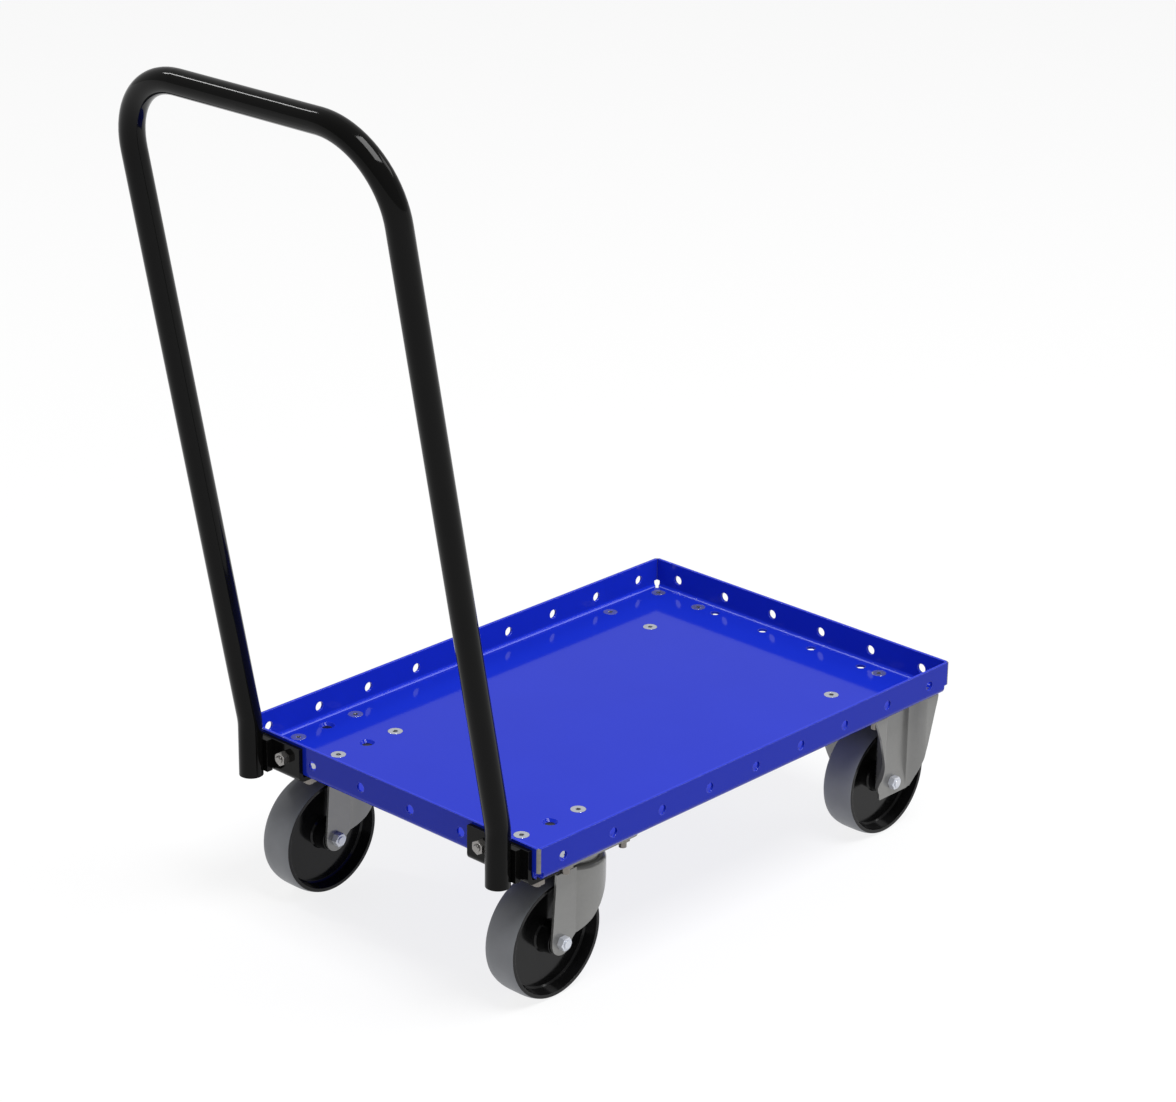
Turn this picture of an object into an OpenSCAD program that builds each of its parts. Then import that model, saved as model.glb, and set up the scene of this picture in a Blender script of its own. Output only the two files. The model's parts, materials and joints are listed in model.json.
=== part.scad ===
// Flatbed platform truck: folded sheet-metal tray deck with upstanding walls on a
// 70 mm hole grid, bolted tubular push handle, two swivel and two rigid casters.
// Units are millimetres. X runs along the deck, away from the push handle,
// Y runs across it and Z is up. Z = 0 is the floor that the wheels stand on.
// The origin is the centre of the whole truck's footprint.

/* [Deck tray] */
// Overall length of the tray over its end walls
deck_length = 627.2; // [560:0.1:770]
// Overall width of the tray over its side walls
deck_width = 419.6; // [400:0.1:560]
// Height of the tray walls, from the underside of the floor
wall_height = 35; // [28:0.5:60]
// Thickness of the folded sheet
sheet_t = 3; // [2:0.1:4]
// Outside radius of the folds between floor and walls
fold_r = 7.25; // [5:0.05:9]
// Spacing of the hole grid
grid_pitch = 70; // [60:1:80]
// Diameter of the plain grid holes in walls and floor
grid_hole_d = 10.4; // [8:0.1:12]
// Height of the wall holes above the underside of the floor
wall_hole_h = 17.5; // [14:0.5:24]
// Size of the square notch at the foot of each corner
corner_notch = 7.1; // [5:0.1:9]

/* [Push handle] */
// Outside diameter of the handle tube
tube_d = 25; // [20:0.5:32]
// Wall thickness of the handle tube
tube_t = 2; // [1.5:0.1:3]
// Distance between the axes of the two handle legs
handle_width = 350; // [300:1:360]
// Height of the top bar's axis above the floor
handle_height = 902; // [700:1:1050]
// Height at which the legs start to lean back
lean_start_h = 207.5; // [200:0.5:230]
// Angle by which the legs lean back
lean_angle = 11.31; // [0.5:0.01:20]
// Centreline radius of the two top corner bends
top_bend_r = 82; // [50:1:120]
// Distance from the end wall to the axis of the upright tube stubs
tube_standoff = 19.4; // [18:0.1:24]

/* [Handle brackets] */
// Thickness of the bracket plate
bracket_t = 5; // [3:0.5:6]
// Width of each bracket
bracket_w = 82; // [76:1:84]
// Distance from the deck's centreline to the middle of each bracket
bracket_y = 160; // [158:0.5:162]
// Length of the bracket's foot under the deck
bracket_foot = 43; // [34:1:44]

/* [Casters] */
// Wheel diameter over the tread
wheel_d = 125; // [100:1:130]
// Width of the wheel over the tread
wheel_w = 37.2; // [30:0.2:38]
// Overall height of each caster, floor to the underside of the deck
caster_h = 156; // [154:0.5:160]
// Length of the caster top plates
plate_l = 105; // [100:1:110]
// Width of the caster top plates
plate_w = 85; // [80:1:86]
// Thickness of the caster top plates
plate_t = 3.5; // [3:0.1:4]
// Bolt spacing along the deck
bolt_x = 80; // [78:0.5:84]
// Bolt spacing across the deck
bolt_y = 60; // [58:0.5:62]
// Distance from the swivel axis to the wheel axle
trail = 40; // [34:0.5:42]
// Distance from the deck's centreline to each caster
caster_y = 160; // [150:0.5:162]
// Distance from the deck's centre to the swivel axes
swivel_x = 215; // [205:0.5:216]
// Distance from the deck's centre to the rigid axles
rigid_x = 255; // [240:0.5:258]
// Radius of the swivel fork's round crown
crown_r = 33.5; // [32:0.1:36]
// Half width of the forks over their flat legs
fork_half = 26; // [25:0.1:28]
// Sheet thickness of the forks
fork_t = 3; // [2:0.1:3]

/* [Hidden] */

// half sizes and heights of the deck
hx = deck_length / 2;
hy = deck_width / 2;
z_under = caster_h;
z_floor = z_under + sheet_t;
z_top = z_under + wall_height;
z_hole = z_under + wall_hole_h;
// the wheels' axle height and the underside of the caster plates
z_axle = wheel_d / 2;
z_plate = caster_h - plate_t;
// upright stubs of the handle
tube_r = tube_d / 2;
tube_x = -(hx + tube_standoff);
stub_bottom = z_under - 7.5;
low_bend_r = 75;
// the handle's lean, from the lower bend to the top bar
lean_x = tube_x - low_bend_r * (1 - cos(lean_angle));
lean_z = lean_start_h + low_bend_r * sin(lean_angle) - low_bend_r * tan(lean_angle / 2);
leg_run = (handle_height - lean_z) / cos(lean_angle);
bar_x = lean_x - leg_run * sin(lean_angle);
// moves the deck's centre so that the origin is the middle of the footprint
x_max = max(hx, rigid_x + z_axle);
x_shift = -((bar_x - tube_r) + x_max) / 2;

black = "#1c1c1d";
blue = "#2b38b8";
zinc = "#9b9c9a";
bright = "#c9cccd";
grey_tyre = "#55585f";
pi_n = 96;

// ---------------------------------------------------------------- helpers

module placed() { translate([x_shift, 0, 0]) children(); }

// a cylinder along Y, from y0 to y1
module rod_y(r, y0, y1, fn = pi_n) {
  translate([0, y0, 0]) rotate([-90, 0, 0]) cylinder(r = r, h = y1 - y0, $fn = fn);
}

// a cylinder along X, from x0 to x1
module rod_x(r, x0, x1, fn = pi_n) {
  translate([x0, 0, 0]) rotate([0, 90, 0]) cylinder(r = r, h = x1 - x0, $fn = fn);
}

// hexagon prism along Z with the given width across flats
module hex(af, h) { cylinder(r = af / sqrt(3), h = h, $fn = 6); }

// ---------------------------------------------------------------- deck

// one long wall with its fold, standing on -Y, length l, with a fold to the floor
module folded_wall(l, reach) {
  // upright part
  translate([-l / 2, -reach, z_under + fold_r])
    cube([l, sheet_t, wall_height - fold_r]);
}

// the quarter-round fold along one side, shortened at both ends
module fold_strip(l, reach) {
  translate([-l / 2 + corner_notch, -reach + fold_r, z_under + fold_r])
    rotate([0, 90, 0])
      linear_extrude(height = l - 2 * corner_notch)
        intersection() {
          difference() {
            circle(r = fold_r, $fn = pi_n);
            circle(r = fold_r - sheet_t, $fn = pi_n);
          }
          translate([0, -fold_r - 1]) square([fold_r + 1, fold_r + 1]);
        }
}

// countersunk hole through the deck floor
module floor_sink(d_top = 16) {
  translate([0, 0, z_floor - d_top / 2 + 0.01 - 0.01])
    cylinder(r1 = 0, r2 = d_top / 2, h = d_top / 2, $fn = pi_n);
  translate([0, 0, z_under - 1]) cylinder(r = d_top / 2 - sheet_t, h = sheet_t + 0.5, $fn = pi_n);
}

// the places of the caster bolts and of the bracket's foot bolts
caster_bolts = [for (c = [-swivel_x, rigid_x], sx = [-1, 1], y = [-1, 1], sy = [-1, 1])
  [c + sx * bolt_x / 2, y * caster_y + sy * bolt_y / 2]];
foot_bolts = [for (y = [-1, 1], sy = [-1, 1]) [-295, y * bracket_y + sy * 30]];
spare_sinks = [for (y = [-1, 1], sy = [-1, 1]) [-swivel_x, y * caster_y + sy * bolt_y / 2]];

module deck_body() {
  // floor between the folds
  translate([-hx + fold_r, -hy + fold_r, z_under])
    cube([deck_length - 2 * fold_r, deck_width - 2 * fold_r, sheet_t]);
  for (s = [0, 180]) rotate([0, 0, s]) {
    folded_wall(deck_length - 2 * sheet_t - 0.3, hy);
    fold_strip(deck_length, hy);
  }
  for (s = [90, 270]) rotate([0, 0, s]) {
    folded_wall(deck_width - 2 * sheet_t - 0.3, hx);
    fold_strip(deck_width, hx);
  }
}

module deck_tray() {
  color(blue) placed() difference() {
    deck_body();
    // square notches and round reliefs at the four corners
    for (sx = [-1, 1], sy = [-1, 1]) {
      translate([sx * hx, sy * hy, z_under + 4.2])
        cube([2 * corner_notch, 2 * corner_notch, 10.6], center = true);
      translate([sx * (hx - fold_r), sy * (hy - fold_r), z_under - 1])
        cylinder(r = 2.6, h = sheet_t + 2, $fn = pi_n);
    }
    // wall holes on the grid
    for (k = [-4 : 4]) translate([k * grid_pitch, 0, z_hole])
      for (s = [-1, 1]) translate([0, s * hy, 0])
        rod_y(grid_hole_d / 2, -6, 6);
    for (k = [-2.5 : 1 : 2.5]) translate([0, k * grid_pitch, z_hole])
      for (s = [-1, 1]) translate([s * hx, 0, 0])
        rod_x(grid_hole_d / 2, -6, 6);
    // clearance holes of the handle bolts
    for (s = [-1, 1]) translate([-hx, s * 140, z_hole]) rod_x(4.5, -6, 6);
    // plain floor holes on the grid at both ends
    for (sx = [-1, 1], k = [-1.5 : 1 : 1.5])
      translate([sx * 295, k * grid_pitch, z_under - 1])
        cylinder(r = grid_hole_d / 2, h = sheet_t + 2, $fn = pi_n);
    // countersunk floor holes
    for (p = concat(caster_bolts, foot_bolts, spare_sinks))
      translate([p[0], p[1], 0]) floor_sink();
  }
}

// vertical weld bead that fills each open wall corner
module corner_welds() {
  color("#8f8d88") placed()
    for (sx = [0, 1], sy = [0, 1]) mirror([sx, 0, 0]) mirror([0, sy, 0]) corner_bead();
}

module corner_bead() {
  w = sheet_t + 0.15;
  translate([hx - w, hy - w, z_under + 9.5])
    intersection() {
      cylinder(r = w, h = wall_height - 9.9, $fn = pi_n);
      cube([w + 1, w + 1, wall_height]);
    }
}

// ---------------------------------------------------------------- handle

// an annular section of the tube
module ring2d(r, t) { difference() { circle(r = r, $fn = pi_n); circle(r = r - t, $fn = pi_n); } }

// straight tube along Z
module tube_z(r, t, h) { linear_extrude(height = h) ring2d(r, t); }

// tube bent through angle a about an axis at distance br; starts at the XY origin going +Z
// and bends towards -X
module bend_back(r, t, br, a) {
  translate([-br, 0, 0]) rotate([90, 0, 0])
    rotate_extrude(angle = a, $fn = 180)
      translate([br, 0]) ring2d(r, t);
}

// the leaning frame of the handle: its Z runs along the legs, its origin is at the lower bends
module lean_frame() {
  translate([lean_x, 0, lean_z]) rotate([0, -lean_angle, 0]) children();
}

module handle_tube() {
  hw = handle_width / 2;
  up = leg_run - top_bend_r;
  color(black) placed() {
    for (s = [-1, 1]) {
      // upright stub and lower bend
      translate([tube_x, s * hw, stub_bottom])
        tube_z(tube_r, tube_t, lean_start_h - low_bend_r * tan(lean_angle / 2) - stub_bottom + 0.2);
      translate([tube_x, s * hw, lean_start_h - low_bend_r * tan(lean_angle / 2)])
        bend_back(tube_r - 0.01, tube_t - 0.02, low_bend_r, lean_angle);
      // leaning leg
      lean_frame() translate([0, s * hw, -0.2]) tube_z(tube_r, tube_t, up + 0.2);
      // top corner, and its half of the top bar
      lean_frame() translate([0, s * (hw - top_bend_r), up])
        rotate([0, 0, s * 90]) rotate([90, 0, 0]) {
          rotate_extrude(angle = 90, $fn = 180)
            translate([top_bend_r, 0]) ring2d(tube_r, tube_t);
          translate([0, top_bend_r, 0]) rotate([0, -90, 0])
            tube_z(tube_r, tube_t, hw - top_bend_r);
        }
    }
  }
}

// welded saddles between the tube stubs and the bracket plates
module handle_saddles() {
  color(black) placed() for (s = [-1, 1])
    difference() {
      translate([-hx - bracket_t - 7, s * handle_width / 2 - 16, z_under - 3])
        cube([7, 32, z_top - 3.3 - z_under + 3]);
      translate([tube_x, s * handle_width / 2, z_under - 10])
        cylinder(r = tube_r, h = 60, $fn = pi_n);
    }
}

// angle bracket: an upright plate on the end wall and a foot under the deck
module bracket(s) {
  w = bracket_w;
  fo = 7; // outside radius of the bracket's own bend
  color(black) placed() difference() {
    translate([0, s * bracket_y - w / 2, 0]) {
      translate([-hx - bracket_t, 0, z_under - bracket_t + fo])
        cube([bracket_t, w, z_top - 3 - z_under + bracket_t - fo]);
      translate([-hx - bracket_t + fo, 0, z_under - bracket_t])
        cube([bracket_foot - fo, w, bracket_t]);
      translate([-hx - bracket_t + fo, 0, z_under - bracket_t + fo])
        rotate([-90, 0, 0]) linear_extrude(height = w)
          intersection() {
            difference() {
              circle(r = fo, $fn = pi_n);
              circle(r = fo - bracket_t, $fn = pi_n);
            }
            translate([-fo - 1, 0]) square([fo + 1, fo + 1]);
          }
    }
    translate([-hx, s * 140, z_hole]) rod_x(4.5, -10, 2);
    for (p = foot_bolts) translate([p[0], p[1], z_under - 8]) cylinder(r = 5.3, h = 12, $fn = pi_n);
  }
}

module left_handle_bracket() { bracket(1); }
module right_handle_bracket() { bracket(-1); }

// hexagon-head bolts that clamp the brackets to the end wall, heads inside the tray
module handle_bolts() {
  color(bright) placed() for (s = [-1, 1]) translate([-hx, s * 140, z_hole]) {
    rod_x(4, -13.4, sheet_t);
    translate([-13.4, 0, 0]) rotate([0, -90, 0]) cylinder(r1 = 4, r2 = 2.8, h = 1.2, $fn = pi_n);
    translate([sheet_t, 0, 0]) rotate([0, 90, 0]) hex(13, 5.3);
  }
}

// thick hexagon nuts, one on each bracket
module handle_nuts() {
  color(bright) placed() for (s = [-1, 1]) translate([-hx - bracket_t, s * 140, z_hole])
    difference() {
      intersection() {
        translate([-7.5, 0, 0]) rotate([0, 90, 0]) hex(13, 7.5);
        union() {
          rod_x(7.5, -7.1, 0);
          translate([-7.5, 0, 0]) rotate([0, 90, 0]) cylinder(r1 = 6.7, r2 = 7.5, h = 0.4, $fn = pi_n);
        }
      }
      rod_x(4.03, -8, 2);
    }
}

// countersunk socket screw, head flush with the deck floor, total length l
module csk_screw(l) {
  translate([0, 0, z_floor]) difference() {
    union() {
      translate([0, 0, -3.85]) cylinder(r1 = 4, r2 = 7.85, h = 3.85, $fn = pi_n);
      translate([0, 0, -l]) cylinder(r = 4, h = l - 3.85, $fn = pi_n);
    }
    translate([0, 0, -2.9]) hex(5, 4);
  }
}

module plain_nut(h, zt, turn = 0) {
  translate([0, 0, zt - h]) rotate([0, 0, turn]) difference() {
    intersection() { hex(13, h); cylinder(r = 7.2, h = h, $fn = pi_n); }
    translate([0, 0, -1]) cylinder(r = 4.03, h = h + 2, $fn = pi_n);
  }
}

module bracket_screws() {
  color(bright) placed() for (p = foot_bolts) translate([p[0], p[1], 0]) csk_screw(18.5);
}

// flanged nuts under the bracket's foot
module bracket_nuts() {
  zt = z_under - bracket_t;
  color(bright) placed() for (p = foot_bolts) translate([p[0], p[1], 0]) difference() {
    union() {
      translate([0, 0, zt - 1.6]) cylinder(r = 8.9, h = 1.6, $fn = pi_n);
      translate([0, 0, zt - 8]) hex(13, 6.4);
    }
    translate([0, 0, zt - 9]) cylinder(r = 4.03, h = 10, $fn = pi_n);
  }
}

module caster_screws() {
  color(bright) placed() for (p = caster_bolts) translate([p[0], p[1], 0]) csk_screw(20);
}

module caster_nuts() {
  color(bright) placed() for (p = caster_bolts) translate([p[0], p[1], 0])
    plain_nut(6.5, z_plate, 0);
}

// ---------------------------------------------------------------- casters

ball_ring = 21;
ball_z = 145;
ball_r = 3;
low_ring = 12.6;
low_z = 132.9;
low_r = 2.4;
pin_r = 6;

module caster_bolt_holes() {
  for (sx = [-1, 1], sy = [-1, 1]) translate([sx * bolt_x / 2, sy * bolt_y / 2, z_plate - 1])
    cylinder(r = 5.3, h = plate_t + 2, $fn = pi_n);
}

// flat plate with four rounded corners
module round_plate(l, w, t, r) {
  linear_extrude(height = t) {
    square([l - 2 * r, w], center = true);
    square([l, w - 2 * r], center = true);
    for (sx = [-1, 1], sy = [-1, 1]) translate([sx * (l / 2 - r), sy * (w / 2 - r)])
      circle(r = r, $fn = pi_n);
  }
}

module at_swivel(s) { translate([-swivel_x, s * caster_y, 0]) children(); }
module at_rigid(s) { translate([rigid_x, s * caster_y, 0]) children(); }
module at_swivel_axle(s) { translate([-swivel_x - trail, s * caster_y, z_axle]) children(); }
module at_rigid_axle(s) { translate([rigid_x, s * caster_y, z_axle]) children(); }

// bolt-on plate with the pressed upper ball race
module top_plate(s) {
  color(zinc) placed() at_swivel(s) difference() {
    union() {
      translate([0, 0, z_plate]) round_plate(plate_l, plate_w, plate_t, 8);
      rotate_extrude($fn = 180) polygon([[14, z_plate + 0.5], [14, 146.6], [25.5, 146.6],
        [27.5, 148.6], [27.5, z_plate + 0.5]]);
    }
    caster_bolt_holes();
    // race groove
    rotate_extrude($fn = 180) translate([ball_ring, ball_z]) circle(r = ball_r + 0.3, $fn = 48);
    // kingpin hole
    translate([0, 0, z_plate - 10]) cylinder(r = pin_r, h = 30, $fn = pi_n);
  }
}

// riveted kingpin: shank through plate and crown, broad head below
module kingpin(s) {
  color(bright) placed() at_swivel(s) rotate_extrude($fn = 180) polygon([
    [0, 123.4], [8, 123.4], [9.5, 124.9], [9.5, 126.9], [pin_r, 126.9],
    [pin_r, caster_h - 0.4], [0, caster_h - 0.4]]);
}

// lower race washer, carried by the kingpin's head
module lower_race(s) {
  color(zinc) placed() at_swivel(s) difference() {
    rotate_extrude($fn = 180) polygon([[pin_r, 126.9], [17.5, 126.9], [17.5, 132.2],
      [pin_r, 132.2]]);
    rotate_extrude($fn = 180) translate([low_ring, low_z]) circle(r = low_r + 0.3, $fn = 48);
  }
}

module ball_set(s, n, ring, z, r) {
  color(bright) placed() at_swivel(s)
    for (i = [0 : n - 1]) rotate([0, 0, i * 360 / n]) translate([ring, 0, z]) sphere(r = r, $fn = 48);
}

// outline of the swivel fork seen from the side, in X and Z about the swivel axis
fork_top = 137.5;
module swivel_side_outline() {
  ax = -trail;
  polygon(concat(
    [[-48, fork_top], [34.5, fork_top], [34.5, fork_top - 8], [30.5, fork_top - 11.5],
     [24, 116.5], [15.5, 102.5], [6.5, 90.5], [-5, 78.5], [-20.9, 66.4]],
    [for (a = [-5 : -8.9 : -183]) [ax + 13.6 * cos(a), z_axle + 13.6 * sin(a)]]
  ));
}

module prism_y(w) {
  translate([0, w / 2, 0]) rotate([90, 0, 0]) linear_extrude(height = w) children();
}

// pressed fork: round crown with skirt, flat legs to the axle
module swivel_fork(s) {
  t = fork_t;
  rr = 5; // radius of the crown's rim
  color(zinc) placed() at_swivel(s) difference() {
    union() {
      intersection() {
        // crown and skirt
        difference() {
          union() {
            translate([0, 0, 40]) cylinder(r = crown_r, h = fork_top - rr - 40, $fn = 180);
            translate([0, 0, fork_top - rr]) cylinder(r = crown_r - rr, h = rr, $fn = 180);
            translate([0, 0, fork_top - rr]) rotate_extrude($fn = 180)
              translate([crown_r - rr, 0]) circle(r = rr, $fn = 64);
          }
          translate([0, 0, 30]) cylinder(r = crown_r - t, h = fork_top - t - 30, $fn = 180);
        }
        // only ahead of the flat legs
        translate([-sqrt(crown_r * crown_r - fork_half * fork_half), -50, 30])
          cube([100, 100, 120]);
        prism_y(100) swivel_side_outline();
      }
      // flat legs
      intersection() {
        for (m = [-1, 1]) translate([-70, m * (fork_half - t / 2) - t / 2, 40])
          cube([70 - sqrt(crown_r * crown_r - fork_half * fork_half) + 0.6, t, fork_top - 40]);
        prism_y(100) swivel_side_outline();
      }
      // roof between the legs
      translate([-44, -fork_half + 1, fork_top - t])
        cube([44 - sqrt(crown_r * crown_r - fork_half * fork_half) + 0.6, 2 * fork_half - 2, t]);
      // raised middle race
      rotate_extrude($fn = 180) polygon([[8.2, fork_top - t], [14.5, fork_top - t],
        [14.5, fork_top - t], [27.5, fork_top - t], [27.5, 141.4], [25.5, 143.4], [14, 143.4], [8.2, 138.4]]);
    }
    // kingpin bore, running fit
    translate([0, 0, 120]) cylinder(r = pin_r + 0.05, h = 40, $fn = pi_n);
    // race grooves above and below
    rotate_extrude($fn = 180) translate([ball_ring, ball_z]) circle(r = ball_r + 0.1, $fn = 48);
    rotate_extrude($fn = 180) translate([low_ring, low_z]) circle(r = low_r + 0.1, $fn = 48);
    // axle holes
    translate([-trail, 0, z_axle]) rod_y(4.02, -60, 60);
  }
}

// plan outline of one rigid fork leg: flat middle at the fork's half width, pressed
// outwards on both sides to the plate's edge
step_in = 23;
step_out = 34.5;
module rigid_leg_plan(off) {
  e = plate_w / 2 - 0.5;
  polygon(concat(
    [[-plate_l / 2, e - off]],
    [for (i = [0 : 12]) let (u = i / 12, w = 0.5 - 0.5 * cos(180 * u))
      [-(step_out + off * 0.55) + (step_out - step_in) * u, e - off - (e - fork_half) * w]],
    [for (i = [0 : 12]) let (u = i / 12, w = 0.5 + 0.5 * cos(180 * u))
      [(step_in + off * 0.55) + (step_out - step_in) * u, e - off - (e - fork_half) * w]],
    [[plate_l / 2, e - off], [plate_l / 2, 0], [-plate_l / 2, 0]]
  ));
}

module rigid_side_outline() {
  polygon([[-plate_l / 2, caster_h], [-51.5, 152], [-46.5, 140], [-42, 129], [-36.5, 108],
    [-32, 88], [-29.5, 76], [-25.5, 63], [-21.5, 54], [-20.5, 47],
    [23.8, 47], [26.2, 50], [27.4, 55], [28.8, 62], [30.4, 69.5], [32.4, 79], [35.2, 89],
    [38.6, 99], [44, 119], [48.6, 136], [51.8, 147], [plate_l / 2, 151.5], [plate_l / 2, caster_h]]);
}

// cross-section of the fork's outer envelope, with the folded long edges rounded
module rigid_fold_outline() {
  e = plate_w / 2 - 0.5;
  r = 4;
  polygon(concat([[-e, 30], [e, 30]],
    [for (a = [0 : 15 : 90]) [e - r + r * cos(a), caster_h - r + r * sin(a)]],
    [for (a = [90 : 15 : 180]) [-e + r + r * cos(a), caster_h - r + r * sin(a)]]));
}

// pressed one-piece fork: top plate with two legs folded down from its long edges
module rigid_fork(s) {
  color(zinc) placed() at_rigid(s) difference() {
    intersection() {
      union() {
        for (m = [0, 1]) mirror([0, m, 0]) difference() {
          translate([0, 0, 40]) linear_extrude(height = caster_h - 40) rigid_leg_plan(0);
          translate([0, 0, 30]) linear_extrude(height = z_plate - 30) rigid_leg_plan(fork_t);
        }
      }
      prism_y(120) rigid_side_outline();
      translate([-60, 0, 0]) rotate([90, 0, 90]) linear_extrude(height = 120) rigid_fold_outline();
    }
    caster_bolt_holes();
    rod_placed_y(4.02);
  }
}
module rod_placed_y(r) { translate([0, 0, z_axle]) rod_y(r, -60, 60); }

// axle bolt along Y, head on the inner side, thread end on the outer side (o = outward sign)
module axle_bolt(o) {
  color(bright) mirror([0, o < 0 ? 1 : 0, 0]) {
    rod_y(4, -fork_half, fork_half + 7.8);
    translate([0, -fork_half - 5.3, 0]) rotate([-90, 0, 0]) hex(13, 5.3);
  }
}

module axle_nut(o) {
  color(bright) mirror([0, o < 0 ? 1 : 0, 0]) difference() {
    translate([0, fork_half, 0]) rotate([-90, 0, 0]) intersection() {
      hex(13, 6.6);
      union() {
        cylinder(r = 7.5, h = 6, $fn = pi_n);
        translate([0, 0, 6]) cylinder(r1 = 7.3, r2 = 6.3, h = 0.6, $fn = pi_n);
      }
    }
    rod_y(4.03, 0, 60);
  }
}

// spacer tube clamped between the legs; the wheel's bearing runs on it
module axle_tube() {
  l = fork_half - fork_t;
  color(zinc) difference() { rod_y(7, -l, l); rod_y(4.05, -l - 1, l + 1); }
}

hub_l = 21.6;
rim_in = 58;
// solid black wheel centre: hub, web and rim
module wheel_rim() {
  w = wheel_w / 2;
  ro = wheel_d / 2 - 1.9;
  color(black) rotate([90, 0, 0]) rotate_extrude($fn = 180) polygon([
    [10, -hub_l], [14.2, -hub_l], [14.7, -hub_l + 0.5], [16, -6.5], [17.5, -5], [53.1, -5], [54.7, -6.6],
    [57, -w], [ro, -w], [rim_in, -w + 2.4], [rim_in, w - 2.4], [ro, w], [57, w],
    [54.7, 6.6], [53.1, 5], [17.5, 5], [16, 6.5], [14.7, hub_l - 0.5], [14.2, hub_l], [10, hub_l]]);
}

// grey solid tread with a gently crowned face and rounded shoulders
module wheel_tread() {
  w = wheel_w / 2;
  color(grey_tyre) rotate([90, 0, 0]) rotate_extrude($fn = 180) polygon(concat(
    [[rim_in, w - 2.4], [rim_in, -w + 2.4]],
    [for (i = [-12 : 12]) let (u = i / 12) [wheel_d / 2 - 1.9 * pow(abs(u), 4), w * u]]
  ));
}

// roller bearing sleeve pressed into the hub
module wheel_bearing() {
  color(bright) difference() { rod_y(10, -hub_l, hub_l); rod_y(7.05, -hub_l - 1, hub_l + 1); }
}

// ---------------------------------------------------------------- caster nodes

module left_swivel_top_plate() { top_plate(1); }
module left_swivel_kingpin() { kingpin(1); }
module left_swivel_lower_race() { lower_race(1); }
module left_swivel_upper_balls() { ball_set(1, 18, ball_ring, ball_z, ball_r); }
module left_swivel_lower_balls() { ball_set(1, 14, low_ring, low_z, low_r); }
module left_swivel_fork() { swivel_fork(1); }
module left_swivel_axle_bolt() { placed() at_swivel_axle(1) axle_bolt(-1); }
module left_swivel_axle_nut() { placed() at_swivel_axle(1) axle_nut(-1); }
module left_swivel_axle_tube() { placed() at_swivel_axle(1) axle_tube(); }
module left_swivel_wheel_rim() { placed() at_swivel_axle(1) wheel_rim(); }
module left_swivel_wheel_tread() { placed() at_swivel_axle(1) wheel_tread(); }
module left_swivel_wheel_bearing() { placed() at_swivel_axle(1) wheel_bearing(); }

module right_swivel_top_plate() { top_plate(-1); }
module right_swivel_kingpin() { kingpin(-1); }
module right_swivel_lower_race() { lower_race(-1); }
module right_swivel_upper_balls() { ball_set(-1, 18, ball_ring, ball_z, ball_r); }
module right_swivel_lower_balls() { ball_set(-1, 14, low_ring, low_z, low_r); }
module right_swivel_fork() { swivel_fork(-1); }
module right_swivel_axle_bolt() { placed() at_swivel_axle(-1) axle_bolt(-1); }
module right_swivel_axle_nut() { placed() at_swivel_axle(-1) axle_nut(-1); }
module right_swivel_axle_tube() { placed() at_swivel_axle(-1) axle_tube(); }
module right_swivel_wheel_rim() { placed() at_swivel_axle(-1) wheel_rim(); }
module right_swivel_wheel_tread() { placed() at_swivel_axle(-1) wheel_tread(); }
module right_swivel_wheel_bearing() { placed() at_swivel_axle(-1) wheel_bearing(); }

module left_rigid_fork() { rigid_fork(1); }
module left_rigid_axle_bolt() { placed() at_rigid_axle(1) axle_bolt(-1); }
module left_rigid_axle_nut() { placed() at_rigid_axle(1) axle_nut(-1); }
module left_rigid_axle_tube() { placed() at_rigid_axle(1) axle_tube(); }
module left_rigid_wheel_rim() { placed() at_rigid_axle(1) wheel_rim(); }
module left_rigid_wheel_tread() { placed() at_rigid_axle(1) wheel_tread(); }
module left_rigid_wheel_bearing() { placed() at_rigid_axle(1) wheel_bearing(); }

module right_rigid_fork() { rigid_fork(-1); }
module right_rigid_axle_bolt() { placed() at_rigid_axle(-1) axle_bolt(-1); }
module right_rigid_axle_nut() { placed() at_rigid_axle(-1) axle_nut(-1); }
module right_rigid_axle_tube() { placed() at_rigid_axle(-1) axle_tube(); }
module right_rigid_wheel_rim() { placed() at_rigid_axle(-1) wheel_rim(); }
module right_rigid_wheel_tread() { placed() at_rigid_axle(-1) wheel_tread(); }
module right_rigid_wheel_bearing() { placed() at_rigid_axle(-1) wheel_bearing(); }

deck_tray();
corner_welds();
handle_tube();
handle_saddles();
left_handle_bracket();
right_handle_bracket();
handle_bolts();
handle_nuts();
bracket_screws();
bracket_nuts();
caster_screws();
caster_nuts();
left_swivel_top_plate();
left_swivel_kingpin();
left_swivel_lower_race();
left_swivel_upper_balls();
left_swivel_lower_balls();
left_swivel_fork();
left_swivel_axle_bolt();
left_swivel_axle_nut();
left_swivel_axle_tube();
left_swivel_wheel_rim();
left_swivel_wheel_tread();
left_swivel_wheel_bearing();
right_swivel_top_plate();
right_swivel_kingpin();
right_swivel_lower_race();
right_swivel_upper_balls();
right_swivel_lower_balls();
right_swivel_fork();
right_swivel_axle_bolt();
right_swivel_axle_nut();
right_swivel_axle_tube();
right_swivel_wheel_rim();
right_swivel_wheel_tread();
right_swivel_wheel_bearing();
left_rigid_fork();
left_rigid_axle_bolt();
left_rigid_axle_nut();
left_rigid_axle_tube();
left_rigid_wheel_rim();
left_rigid_wheel_tread();
left_rigid_wheel_bearing();
right_rigid_fork();
right_rigid_axle_bolt();
right_rigid_axle_nut();
right_rigid_axle_tube();
right_rigid_wheel_rim();
right_rigid_wheel_tread();
right_rigid_wheel_bearing();
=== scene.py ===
import json
import math

import bmesh
import bpy
from mathutils import Matrix, Vector


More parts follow.
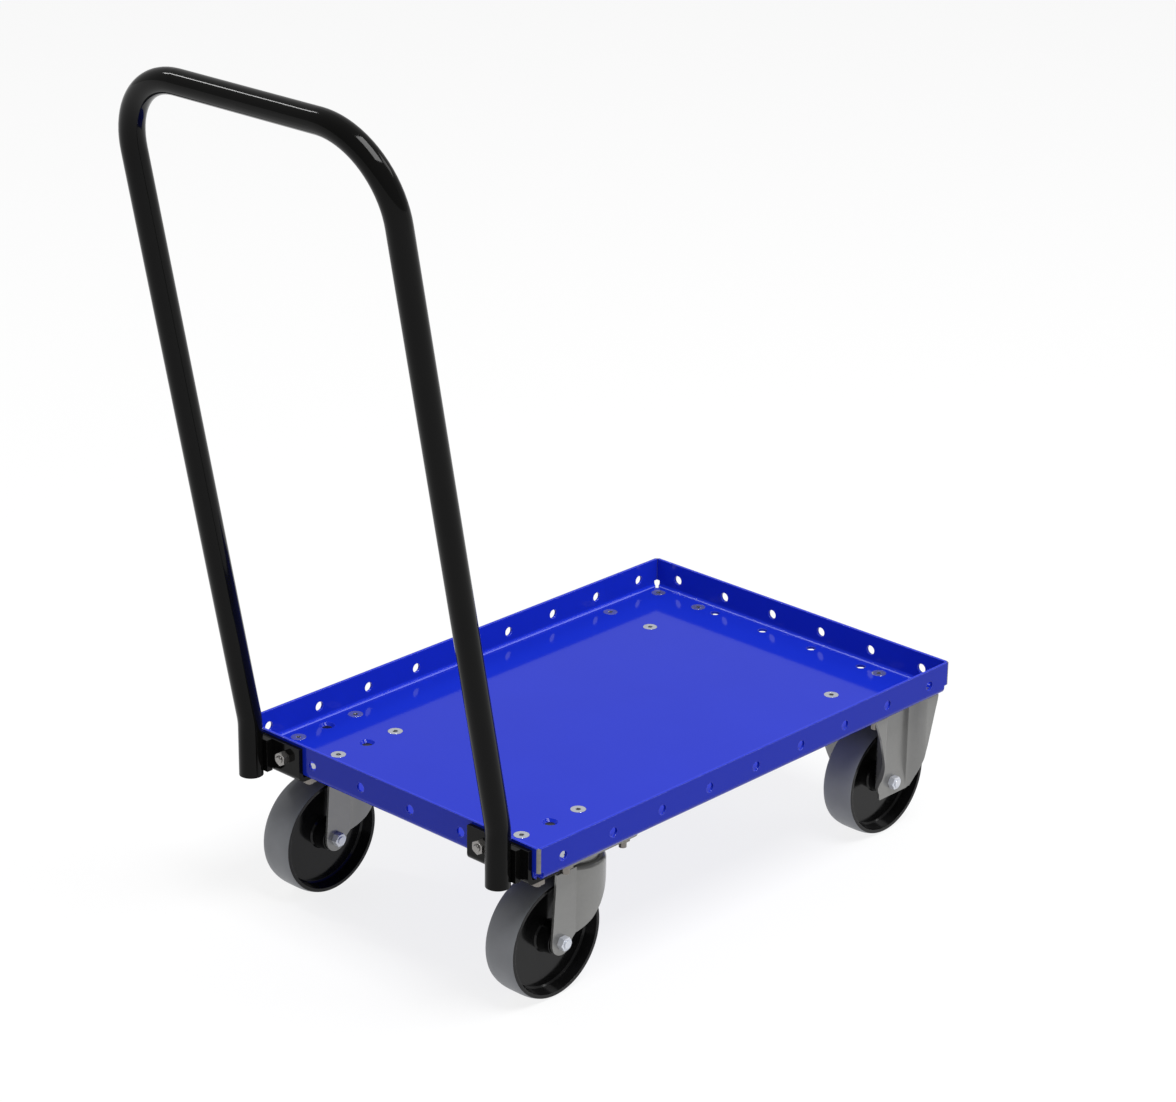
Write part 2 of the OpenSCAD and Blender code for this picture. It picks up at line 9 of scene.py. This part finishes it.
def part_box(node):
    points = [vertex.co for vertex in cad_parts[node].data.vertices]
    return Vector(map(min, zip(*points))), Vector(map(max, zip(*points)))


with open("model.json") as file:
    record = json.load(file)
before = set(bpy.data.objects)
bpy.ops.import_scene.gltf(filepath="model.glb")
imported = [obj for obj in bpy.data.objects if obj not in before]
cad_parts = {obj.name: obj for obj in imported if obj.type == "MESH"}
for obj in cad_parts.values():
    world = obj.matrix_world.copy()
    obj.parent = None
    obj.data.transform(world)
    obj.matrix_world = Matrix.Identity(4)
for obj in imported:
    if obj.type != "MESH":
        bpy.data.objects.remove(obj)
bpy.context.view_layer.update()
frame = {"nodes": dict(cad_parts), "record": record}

NODES = frame["nodes"]
BODY_OF = {n: b for b, ns in frame["record"]["behaviour"]["bodies"].items() for n in ns}
SLOT_OF = {n: m["slot"] for m in frame["record"]["materials"] for n in m.get("nodes", [])}
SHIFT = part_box("left_rigid_wheel_tread")[1].x - 0.3175   # the row frame's x less the tray-centred x
MM = 0.001


# ---------------------------------------------------------------- node helpers
class Mat:
    """A small helper around one node tree."""

    def __init__(self, name):
        self.mat = bpy.data.materials.new(name)
        self.mat.use_nodes = True
        self.t = self.mat.node_tree
        self.t.nodes.clear()
        self.out = self.t.nodes.new("ShaderNodeOutputMaterial")
        self.bsdf = self.t.nodes.new("ShaderNodeBsdfPrincipled")
        self.t.links.new(self.bsdf.outputs[0], self.out.inputs[0])
        self.coord = self.t.nodes.new("ShaderNodeTexCoord")

    def link(self, a, b):
        self.t.links.new(a, b)
        return b

    def put(self, socket, value):
        """A value or a link, whichever it is."""
        if isinstance(value, bpy.types.NodeSocket):
            self.t.links.new(value, socket)
        else:
            socket.default_value = value

    def mapping(self, scale=(1, 1, 1), loc=(0, 0, 0), rot=(0, 0, 0)):
        n = self.t.nodes.new("ShaderNodeMapping")
        self.link(self.coord.outputs["Object"], n.inputs["Vector"])
        n.inputs["Scale"].default_value = scale
        n.inputs["Location"].default_value = loc
        n.inputs["Rotation"].default_value = rot
        return n.outputs[0]

    def noise(self, scale, detail=3.0, rough=0.5, vector=None, distortion=0.0):
        n = self.t.nodes.new("ShaderNodeTexNoise")
        self.link(vector or self.coord.outputs["Object"], n.inputs["Vector"])
        n.inputs["Scale"].default_value = scale
        n.inputs["Detail"].default_value = detail
        n.inputs["Roughness"].default_value = rough
        n.inputs["Distortion"].default_value = distortion
        return n.outputs["Fac"]

    def voronoi(self, scale, vector=None, feature="F1", out="Distance"):
        n = self.t.nodes.new("ShaderNodeTexVoronoi")
        n.feature = feature
        self.link(vector or self.coord.outputs["Object"], n.inputs["Vector"])
        n.inputs["Scale"].default_value = scale
        return n.outputs[out]

    def ramp(self, fac, lo, hi, a=0.0, b=1.0):
        n = self.t.nodes.new("ShaderNodeMapRange")
        n.clamp = True
        self.link(fac, n.inputs["Value"])
        n.inputs["From Min"].default_value = lo
        n.inputs["From Max"].default_value = hi
        n.inputs["To Min"].default_value = a
        n.inputs["To Max"].default_value = b
        return n.outputs[0]

    def mix(self, fac, a, b, kind="MIX"):
        n = self.t.nodes.new("ShaderNodeMix")
        n.data_type = "RGBA"
        n.blend_type = kind
        self.put(n.inputs[0], fac)
        for socket, v in ((n.inputs[6], a), (n.inputs[7], b)):
            if isinstance(v, bpy.types.NodeSocket):
                self.link(v, socket)
            else:
                socket.default_value = (*v, 1.0)
        return n.outputs[2]

    def math(self, op, a, b=None):
        n = self.t.nodes.new("ShaderNodeMath")
        n.operation = op
        self.put(n.inputs[0], a)
        if b is not None:
            self.put(n.inputs[1], b)
        return n.outputs[0]

    def bevel(self, radius, samples=4):
        n = self.t.nodes.new("ShaderNodeBevel")
        n.samples = samples
        n.inputs["Radius"].default_value = radius
        return n.outputs[0]

    def edge(self, radius, lo=0.0, hi=0.25):
        """1 on a convex or concave edge, 0 on a flat, from the rounded normal."""
        geo = self.t.nodes.new("ShaderNodeNewGeometry")
        dot = self.t.nodes.new("ShaderNodeVectorMath")
        dot.operation = "DOT_PRODUCT"
        self.link(self.bevel(radius, 4), dot.inputs[0])
        self.link(geo.outputs["Normal"], dot.inputs[1])
        gap = self.math("SUBTRACT", 1.0, dot.outputs["Value"])
        return self.ramp(gap, lo, hi)

    def bump(self, height, distance, strength=1.0, normal=None):
        n = self.t.nodes.new("ShaderNodeBump")
        n.inputs["Strength"].default_value = strength
        n.inputs["Distance"].default_value = distance
        self.link(height, n.inputs["Height"])
        if normal is not None:
            self.link(normal, n.inputs["Normal"])
        return n.outputs[0]

    def set(self, **kw):
        for k, v in kw.items():
            s = self.bsdf.inputs[k.replace("_", " ")]
            self.put(s, (*v, 1.0) if isinstance(v, tuple) and len(v) == 3 else v)


def tray_painted_light(m, col):
    """Painted light: the coat lighter inside the walls, more on the inner walls, and darker outside, with a painted
    highlight line along the inner fold.
    """
    sep = m.t.nodes.new("ShaderNodeSeparateXYZ")
    m.link(m.coord.outputs["Object"], sep.inputs[0])
    off_x = m.math("ABSOLUTE", m.math("SUBTRACT", sep.outputs["X"], SHIFT))
    off_y = m.math("ABSOLUTE", sep.outputs["Y"])
    inside = m.math("MULTIPLY", m.math("LESS_THAN", off_x, 0.3121), m.math("LESS_THAN", off_y, 0.2083))
    wall = m.math("MULTIPLY", inside, m.math("GREATER_THAN", sep.outputs["Z"], 0.1592))
    # painted light: lighter inside the tray and on its inner walls, darker outside
    painted_light_gain = m.math("ADD", 0.87, m.math("ADD", m.math("MULTIPLY", inside, 0.13), m.math("MULTIPLY", wall, 0.28)))
    mul = m.t.nodes.new("ShaderNodeVectorMath")
    mul.operation = "SCALE"
    m.link(col, mul.inputs[0])
    m.link(painted_light_gain, mul.inputs["Scale"])
    # painted highlight: a light line along the inner fold of the walls
    fold_highlight = m.math("MULTIPLY", wall, m.ramp(sep.outputs["Z"], 0.1595, 0.1600, 1.0, 0.0))
    return m.mix(m.math("MULTIPLY", fold_highlight, 0.55), mul.outputs[0], (0.22, 0.26, 0.70))


def powder(name, base, light, rough, ior, peel, edge_tone, edge_amount, tone=None):
    """A sprayed and baked coat: orange peel, a little cloudiness, lighter on the edges, partly from a thinner coat and
    partly as a painted highlight along edges and folds.
    """
    m = Mat(name)
    cloud = m.ramp(m.noise(9.0, 3.0, 0.55), 0.3, 0.7)
    fine = m.ramp(m.noise(900.0, 2.0, 0.5), 0.3, 0.7)
    col = m.mix(m.math("MULTIPLY", cloud, 0.5), base, light)
    if tone:
        col = tone(m, col)
    # lighter edges and folds: partly a thinner coat, partly a painted highlight
    edge_wear_and_highlight = m.edge(0.0007, 0.03, 0.3)
    edge_patchiness = m.ramp(m.noise(160.0, 4.0, 0.6), 0.25, 0.50)
    col = m.mix(m.math("MULTIPLY", m.math("MULTIPLY", edge_wear_and_highlight, edge_patchiness), edge_amount), col, edge_tone)
    round_n = m.bevel(0.0006, 4)
    peel_n = m.bump(m.noise(520.0, 2.0, 0.5), peel, 1.0, round_n)
    m.set(Base_Color=col, Roughness=m.ramp(fine, 0, 1, rough * 0.85, rough * 1.2), IOR=ior, Normal=peel_n)
    return m


MATS = {}

# blue coat: its light edge_tone paints a highlight along the folds; tray_painted_light paints lighter inner walls,
# darker outer walls and a highlight line along the inner fold
MATS["blue_powder_coat"] = powder(
    "blue_powder_coat", (0.0062, 0.0200, 0.395), (0.0076, 0.0230, 0.425), 0.085, 1.22, 0.000003, (0.17, 0.20, 0.66), 0.75,
    tray_painted_light
)
MATS["black_gloss_coat"] = powder(
    "black_gloss_coat", (0.0024, 0.0024, 0.0023), (0.0036, 0.0035, 0.0033), 0.075, 1.21, 0.000002, (0.03, 0.029, 0.027), 0.6
)

m = Mat("weld_steel")   # a bead ground flush: fine lines across it, heat tint in patches
lines = m.noise(260.0, 4.0, 0.6, m.mapping(scale=(0.35, 0.35, 4.5)))
heat = m.ramp(m.noise(55.0, 2.0, 0.5), 0.35, 0.7)
col = m.mix(heat, (0.19, 0.175, 0.155), (0.14, 0.135, 0.125))
m.set(Base_Color=m.mix(m.ramp(lines, 0.35, 0.7), col, (0.24, 0.23, 0.21)), Metallic=0.55,
      Roughness=m.ramp(lines, 0.3, 0.7, 0.34, 0.5), Normal=m.bump(lines, 0.00006, 0.8, m.bevel(0.0003, 4)))
MATS["weld_steel"] = m

m = Mat("zinc_sheet")   # pressed plate, zinc plated: faint crystals, rolled grain, and lighter edges and folds as a painted highlight
cells = m.voronoi(210.0, out="Distance")
grain = m.noise(420.0, 5.0, 0.62, m.mapping(scale=(0.25, 1.0, 0.25)))
cloud = m.ramp(m.noise(38.0, 4.0, 0.6), 0.3, 0.72)
col = m.mix(m.math("MULTIPLY", cloud, 0.5), (0.215, 0.215, 0.210), (0.245, 0.244, 0.237))
col = m.mix(m.math("MULTIPLY", m.ramp(cells, 0.1, 0.75), 0.18), col, (0.19, 0.19, 0.185))
sep = m.t.nodes.new("ShaderNodeSeparateXYZ")   # the plates' top faces, against the deck, are painted dark as shade under the deck
m.link(m.coord.outputs["Object"], sep.inputs[0])
col = m.mix(m.ramp(sep.outputs["Z"], 0.15585, 0.15595), col, (0.02, 0.02, 0.02))
# painted highlight: edges and folds mixed toward a light grey
edge = m.edge(0.0009, 0.03, 0.3)
col = m.mix(m.math("MULTIPLY", edge, 0.5), col, (0.52, 0.52, 0.51))
nrm = m.bump(grain, 0.000006, 0.8, m.bevel(0.0008, 4))
m.set(Base_Color=col, Metallic=0.55, Roughness=m.ramp(cloud, 0, 1, 0.17, 0.24), IOR=1.5, Normal=nrm)
MATS["zinc_sheet"] = m

m = Mat("bright_zinc_fasteners")
turn = m.noise(900.0, 4.0, 0.6)
blue = m.ramp(m.noise(120.0, 2.0, 0.5), 0.3, 0.7)
col = m.mix(blue, (0.62, 0.635, 0.68), (0.56, 0.59, 0.66))
sep = m.t.nodes.new("ShaderNodeSeparateXYZ")   # the handle's own nuts and bolts are painted darker, shade standing in for the dark surroundings they mirror
m.link(m.coord.outputs["Object"], sep.inputs[0])
handle_painted_shade = m.ramp(sep.outputs["X"], -0.2325, -0.2315, 1.0, 0.0)
col = m.mix(handle_painted_shade, col, (0.27, 0.26, 0.25))
under_deck_shade = m.math("MULTIPLY", m.ramp(sep.outputs["Z"], 0.100, 0.102), m.ramp(sep.outputs["Z"], 0.1560, 0.1570, 1.0, 0.0))
col = m.mix(under_deck_shade, col, (0.20, 0.185, 0.17))   # the nuts under the deck are painted darker, as shade under the deck
axle = m.ramp(sep.outputs["Z"], 0.099, 0.100, 1.0, 0.0)   # the axle nuts have a thicker, bluish plating
# painted highlight: nut and bolt edges mixed toward near white
edge = m.edge(0.0004, 0.03, 0.3)
col = m.mix(m.math("MULTIPLY", edge, 0.5), col, (0.85, 0.85, 0.86))
m.set(Base_Color=col, Metallic=m.math("SUBTRACT", 0.88, m.math("MULTIPLY", axle, 0.40)), Roughness=m.ramp(turn, 0.3, 0.7, 0.12, 0.20),
      Normal=m.bump(turn, 0.000006, 0.7, m.bevel(0.00035, 4)))
MATS["bright_zinc_fasteners"] = m

m = Mat("bearing_steel")
turn = m.noise(800.0, 4.0, 0.6, m.mapping(scale=(1, 0.2, 1)))
m.set(Base_Color=m.mix(m.ramp(turn, 0.3, 0.7), (0.42, 0.42, 0.42), (0.54, 0.54, 0.53)), Metallic=1.0,
      Roughness=m.ramp(turn, 0.3, 0.7, 0.16, 0.28), Normal=m.bump(turn, 0.000005, 0.6, m.bevel(0.0003, 4)))
MATS["bearing_steel"] = m

m = Mat("black_wheel_plastic")   # moulded nylon with a low gloss flow pattern, and lighter edges as a painted highlight
flow = m.noise(48.0, 3.0, 0.5, distortion=1.2)
fine = m.noise(1100.0, 2.0, 0.5)
# painted highlight: rim edges mixed toward a lighter grey
edge = m.edge(0.0008, 0.03, 0.3)
col = m.mix(m.ramp(flow, 0.3, 0.7), (0.0032, 0.0032, 0.0033), (0.0052, 0.0052, 0.0054))
col = m.mix(m.math("MULTIPLY", edge, 0.7), col, (0.05, 0.05, 0.052))
m.set(Base_Color=col, Roughness=m.ramp(flow, 0.3, 0.7, 0.10, 0.16), IOR=1.30,
      Normal=m.bump(fine, 0.000003, 0.8, m.bevel(0.0007, 4)))
MATS["black_wheel_plastic"] = m

m = Mat("grey_tread")   # cast tread: fine even pores, satin, light dusty specks, and lighter edges as a painted highlight
pores = m.noise(1300.0, 4.0, 0.6)
cloud = m.ramp(m.noise(30.0, 4.0, 0.6), 0.3, 0.7)
speck = m.ramp(m.voronoi(650.0), 0.0, 0.09, 1.0, 0.0)
col = m.mix(cloud, (0.148, 0.154, 0.166), (0.170, 0.176, 0.190))
col = m.mix(m.math("MULTIPLY", speck, 0.35), col, (0.19, 0.19, 0.20))
# painted highlight: tread edges mixed toward a lighter grey
edge = m.edge(0.0012, 0.03, 0.35)
col = m.mix(m.math("MULTIPLY", edge, 0.35), col, (0.22, 0.22, 0.23))
m.set(Base_Color=col, Roughness=m.ramp(pores, 0.3, 0.7, 0.40, 0.55), IOR=1.45,
      Normal=m.bump(pores, 0.000022, 0.8, m.bevel(0.001, 4)))
MATS["grey_tread"] = m


def dress(obj, slot):
    obj.data.materials.clear()
    obj.data.materials.append(MATS[slot].mat)


GUESS = [
    ("corner_welds", "weld_steel"), ("deck_tray", "blue_powder_coat"),
    ("handle_tube", "black_gloss_coat"), ("handle_saddles", "black_gloss_coat"), ("handle_bracket", "black_gloss_coat"),
    ("wheel_rim", "black_wheel_plastic"), ("wheel_tread", "grey_tread"), ("balls", "bearing_steel"),
    ("wheel_bearing", "bearing_steel"), ("axle_tube", "bearing_steel"), ("lower_race", "zinc_sheet"),
    ("top_plate", "zinc_sheet"), ("fork", "zinc_sheet"), ("bolt", "bright_zinc_fasteners"),
    ("nut", "bright_zinc_fasteners"), ("screw", "bright_zinc_fasteners"), ("kingpin", "bright_zinc_fasteners"),
]
for name, obj in NODES.items():
    slot = SLOT_OF.get(name) or next(s for k, s in GUESS if k in name)
    dress(obj, slot)


# ---------------------------------------------------------------- stage, light, camera
def plain(name, color, rough):
    mat = Mat(name)
    mat.set(Base_Color=color, Roughness=rough, IOR=1.2)
    return mat.mat


me = bpy.data.meshes.new("floor")
bm = bmesh.new()
bmesh.ops.create_circle(bm, cap_ends=True, segments=96, radius=60.0)
bm.to_mesh(me)
bm.free()
floor = bpy.data.objects.new("floor", me)
pale = plain("floor_pale", (0.13, 0.13, 0.13), 0.9)
pale.node_tree.nodes["Principled BSDF"].inputs["Emission Color"].default_value = (1, 1, 1, 1)
pale.node_tree.nodes["Principled BSDF"].inputs["Emission Strength"].default_value = 0.83
floor.data.materials.append(pale)
bpy.context.scene.collection.objects.link(floor)

world = bpy.data.worlds.new("studio")
bpy.context.scene.world = world
world.use_nodes = True
wt = world.node_tree
wt.nodes.clear()
wo = wt.nodes.new("ShaderNodeOutputWorld")
wb = wt.nodes.new("ShaderNodeBackground")
wc = wt.nodes.new("ShaderNodeTexCoord")
way = wt.nodes.new("ShaderNodeVectorMath")   # dim in front of the truck, lighter behind it
way.operation = "DOT_PRODUCT"
way.inputs[1].default_value = (0.73, 0.68, 0.0)
wt.links.new(wc.outputs["Generated"], way.inputs[0])
span = wt.nodes.new("ShaderNodeMapRange")
span.clamp = True
wt.links.new(way.outputs["Value"], span.inputs["Value"])
span.inputs["From Min"].default_value = -0.35
span.inputs["From Max"].default_value = 0.85
span.inputs["To Min"].default_value = 0.32
span.inputs["To Max"].default_value = 0.66
wt.links.new(span.outputs[0], wb.inputs[0])
wb.inputs[1].default_value = 1.0
wt.links.new(wb.outputs[0], wo.inputs[0])


def area(name, where, target, size, power, color=(1, 1, 1)):
    data = bpy.data.lights.new(name, "AREA")
    data.shape = "RECTANGLE"
    data.size, data.size_y = size
    data.energy = power
    data.color = color
    o = bpy.data.objects.new(name, data)
    o.location = where
    o.rotation_mode = "QUATERNION"
    o.rotation_quaternion = (Vector(target) - Vector(where)).to_track_quat("-Z", "Y")
    bpy.context.scene.collection.objects.link(o)
    return o


area("key", (0.0, -1.8, 4.5), (0.0, 0.0, 0.2), (2.2, 2.2), 238.0)
area("back", (-1.08, 3.36, 3.97), (-0.39, 0.0, 0.9), (0.26, 1.5), 42.0)
area("side", (4.0, -2.1, 3.9), (0.2, 0.0, 0.15), (1.6, 1.6), 34.0)

cam_data = bpy.data.cameras.new("camera")
cam_data.sensor_fit = "HORIZONTAL"
cam_data.sensor_width = 36.0
cam_data.lens = 107.585
cam_data.clip_start, cam_data.clip_end = 0.05, 200.0
cam = bpy.data.objects.new("camera", cam_data)
R = ((0.685908992653615, -0.7275697865894333, 0.013078969344323399),
     (-0.26129980775230705, -0.26303276994885494, -0.9287282554125509),
     (0.6791548161247999, 0.633605529943702, -0.3705303876327152))
cam.matrix_world = Matrix((
    (R[0][0], -R[1][0], -R[2][0], -2.36913),
    (R[0][1], -R[1][1], -R[2][1], -2.26308),
    (R[0][2], -R[1][2], -R[2][2], 1.67750),
    (0, 0, 0, 1)))
bpy.context.scene.collection.objects.link(cam)
bpy.context.scene.camera = cam

view = bpy.context.scene.view_settings
view.view_transform = "Standard"
view.look = "None"
view.exposure = 0.0
view.gamma = 1.0
